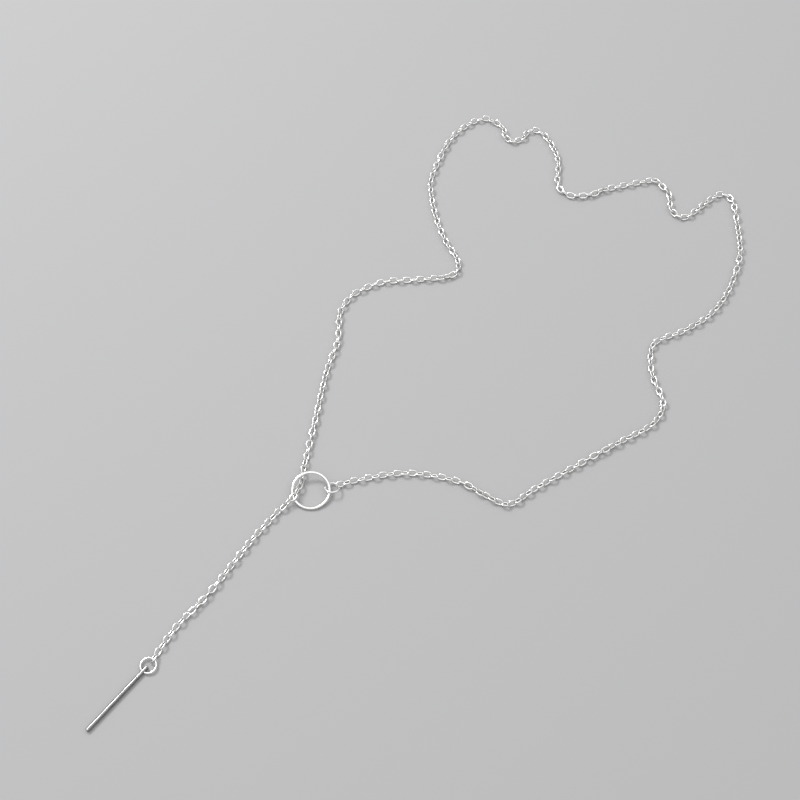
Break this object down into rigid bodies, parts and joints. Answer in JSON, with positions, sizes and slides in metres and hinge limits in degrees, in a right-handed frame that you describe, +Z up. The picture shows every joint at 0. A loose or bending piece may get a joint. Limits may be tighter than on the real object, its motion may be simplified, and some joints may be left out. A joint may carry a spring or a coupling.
{
  "type": "bar necklace",
  "caption": "Lariat necklace of fine oval cable chain, drawn through a round ring and ending in a slim round bar, lying on a surface.",
  "frame": {"origin": "middle of the lying necklace's box, on the surface that it lies on", "axes": "+Z up from the surface, +Y from the bar towards the far side of the neck loop, +X to the right"},
  "size_m": [0.1942, 0.2149, 0.0032],
  "materials": {
    "chain": "polished silver plate",
    "ring": "polished silver plate",
    "jump_rings": "polished silver plate",
    "bar": "polished, darker than the chain, with fine drawn lines"
  },
  "bodies": {
    "root": {"neck_chain": "chain", "drop_chain": "chain", "ring": "ring", "ring_jump_ring": "jump_rings", "bar_jump_ring": "jump_rings", "bar": "bar"}
  },
  "joints": []
}
